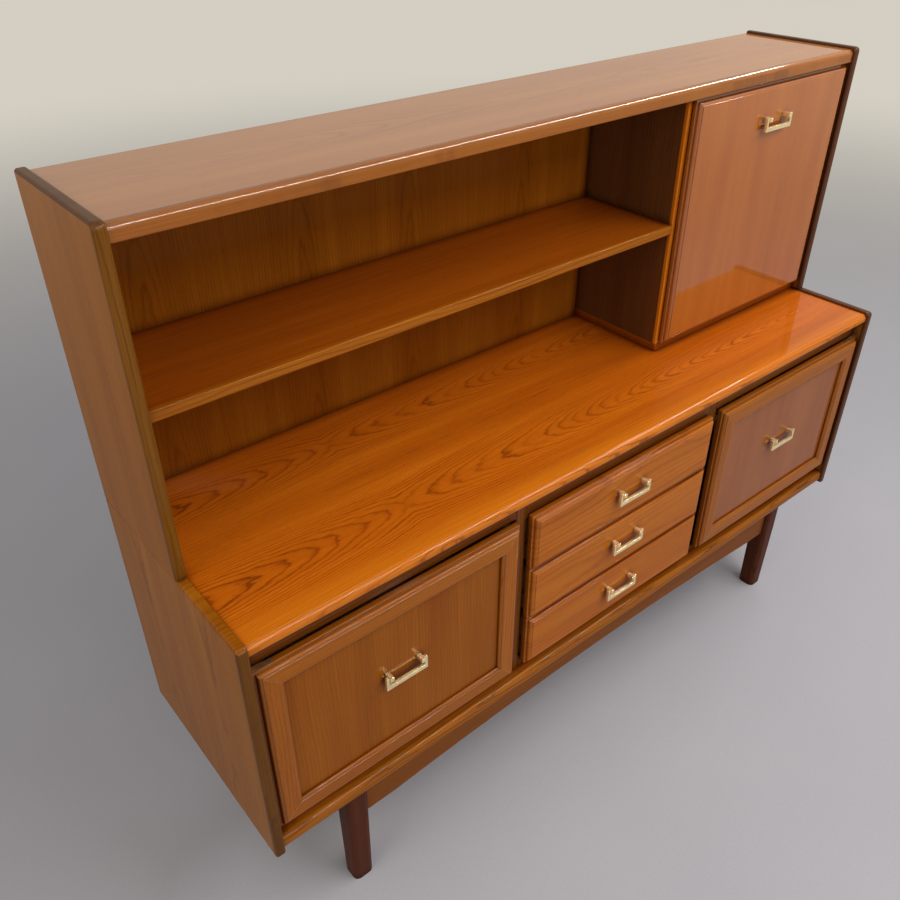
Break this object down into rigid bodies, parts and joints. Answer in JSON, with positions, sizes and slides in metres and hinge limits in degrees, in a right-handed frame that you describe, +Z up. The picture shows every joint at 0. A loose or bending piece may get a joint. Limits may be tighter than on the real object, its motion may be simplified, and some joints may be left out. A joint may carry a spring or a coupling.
{
  "type": "dresser with hutch",
  "caption": "Low dresser on legs with hinged panelled doors and moulded drawers, carrying a set-back hutch with an open bay, a shelf and a drop-down flap compartment.",
  "frame": {"origin": "on the floor, under the middle of the outer box", "axes": "+Z up, +X along the front to the right as one faces it, +Y to the back; the front faces -Y"},
  "size_m": [1.65, 0.465, 1.311],
  "materials": {
    "side_veneer": "glossy lacquered teak veneer, grain upright",
    "top_veneer": "glossy lacquered teak veneer, grain along the top",
    "hutch_top_veneer": "glossy lacquered teak veneer",
    "floor_veneer": "glossy lacquered teak",
    "carcass_wood": "stained and lacquered wood",
    "inner_wood": "satin veneered board",
    "back_panel": "raw hardboard, smooth",
    "hutch_back_veneer": "lacquered dark teak veneer",
    "hutch_inner_veneer": "lacquered dark teak veneer",
    "runner_wood": "bare beech",
    "leg_wood": "dark red-brown lacquered wood",
    "door_frame": "glossy lacquered teak",
    "door_panel": "glossy lacquered teak veneer, grain upright",
    "drawer_front": "glossy lacquered teak veneer, grain level",
    "drawer_wood": "bare beech",
    "drawer_base": "bare plywood",
    "flap_veneer": "glossy lacquered teak veneer, grain upright",
    "brass": "polished and lacquered",
    "hinge_metal": "bronzed steel",
    "catch_plastic": "brown moulded plastic"
  },
  "bodies": {
    "carcass": {"base_side_left": "side_veneer", "base_side_right": "side_veneer", "hutch_side_left": "side_veneer", "hutch_side_right": "side_veneer", "base_top": "top_veneer", "hutch_top": "hutch_top_veneer", "base_floor": "floor_veneer", "base_partition_left": "carcass_wood", "base_partition_right": "carcass_wood", "base_back": "back_panel", "hutch_back": "hutch_back_veneer", "front_top_rails": "carcass_wood", "front_bottom_rails": "carcass_wood", "cupboard_shelves": "inner_wood", "shelf_battens": "inner_wood", "drawer_runners": "runner_wood", "underframe_long_rails": "leg_wood", "underframe_side_rails": "leg_wood", "leg_front_left": "leg_wood", "leg_front_right": "leg_wood", "leg_back_left": "leg_wood", "leg_back_right": "leg_wood", "hutch_partition": "hutch_inner_veneer", "hutch_shelf": "hutch_inner_veneer", "compartment_floor": "hutch_inner_veneer", "cabinet_hinge_leaves": "hinge_metal", "magnetic_catches": "catch_plastic"},
    "door_left": {"door_left_stiles": "door_frame", "door_left_rails": "door_frame", "door_left_panel": "door_panel", "door_left_hinge_plates": "hinge_metal", "door_left_handle_posts": "brass"},
    "door_left_bail": {"door_left_handle_bail": "brass"},
    "door_right": {"door_right_stiles": "door_frame", "door_right_rails": "door_frame", "door_right_panel": "door_panel", "door_right_hinge_plates": "hinge_metal", "door_right_handle_posts": "brass"},
    "door_right_bail": {"door_right_handle_bail": "brass"},
    "drawer_1": {"drawer_1_front": "drawer_front", "drawer_1_box": "drawer_wood", "drawer_1_bottom": "drawer_base", "drawer_1_handle_posts": "brass"},
    "drawer_1_bail": {"drawer_1_handle_bail": "brass"},
    "drawer_2": {"drawer_2_front": "drawer_front", "drawer_2_box": "drawer_wood", "drawer_2_bottom": "drawer_base", "drawer_2_handle_posts": "brass"},
    "drawer_2_bail": {"drawer_2_handle_bail": "brass"},
    "drawer_3": {"drawer_3_front": "drawer_front", "drawer_3_box": "drawer_wood", "drawer_3_bottom": "drawer_base", "drawer_3_handle_posts": "brass"},
    "drawer_3_bail": {"drawer_3_handle_bail": "brass"},
    "flap": {"flap": "flap_veneer", "flap_hinge_leaves": "hinge_metal", "flap_handle_posts": "brass"},
    "flap_bail": {"flap_handle_bail": "brass"}
  },
  "joints": [
    {"name": "door_left_swing", "type": "hinge", "parent": "carcass", "child": "door_left", "pos_m": [-0.786, -0.202, 0.517], "axis": [0, 0, -1], "range_deg": [0, 95]},
    {"name": "door_right_swing", "type": "hinge", "parent": "carcass", "child": "door_right", "pos_m": [0.786, -0.202, 0.517], "axis": [0, 0, 1], "range_deg": [0, 95]},
    {"name": "flap_drop", "type": "hinge", "parent": "carcass", "child": "flap", "pos_m": [0.5505, -0.0151, 0.7814], "axis": [1, 0, 0], "range_deg": [0, 90]},
    {"name": "drawer_1_slide", "type": "slide", "parent": "carcass", "child": "drawer_1", "axis": [0, -1, 0], "range_m": [0, 0.3]},
    {"name": "drawer_2_slide", "type": "slide", "parent": "carcass", "child": "drawer_2", "axis": [0, -1, 0], "range_m": [0, 0.3]},
    {"name": "drawer_3_slide", "type": "slide", "parent": "carcass", "child": "drawer_3", "axis": [0, -1, 0], "range_m": [0, 0.3]},
    {"name": "door_left_bail_swing", "type": "hinge", "parent": "door_left", "child": "door_left_bail", "pos_m": [-0.54525, -0.2195, 0.537], "axis": [-1, 0, 0], "range_deg": [-20, 100]},
    {"name": "door_right_bail_swing", "type": "hinge", "parent": "door_right", "child": "door_right_bail", "pos_m": [0.54525, -0.2195, 0.537], "axis": [-1, 0, 0], "range_deg": [-20, 100]},
    {"name": "drawer_1_bail_swing", "type": "hinge", "parent": "drawer_1", "child": "drawer_1_bail", "pos_m": [0, -0.2275, 0.65267], "axis": [-1, 0, 0], "range_deg": [-20, 100]},
    {"name": "drawer_2_bail_swing", "type": "hinge", "parent": "drawer_2", "child": "drawer_2_bail", "pos_m": [0, -0.2275, 0.53], "axis": [-1, 0, 0], "range_deg": [-20, 100]},
    {"name": "drawer_3_bail_swing", "type": "hinge", "parent": "drawer_3", "child": "drawer_3_bail", "pos_m": [0, -0.2275, 0.40733], "axis": [-1, 0, 0], "range_deg": [-20, 100]},
    {"name": "flap_bail_swing", "type": "hinge", "parent": "flap", "child": "flap_bail", "pos_m": [0.5505, -0.0445, 1.212], "axis": [-1, 0, 0], "range_deg": [-20, 100]}
  ]
}
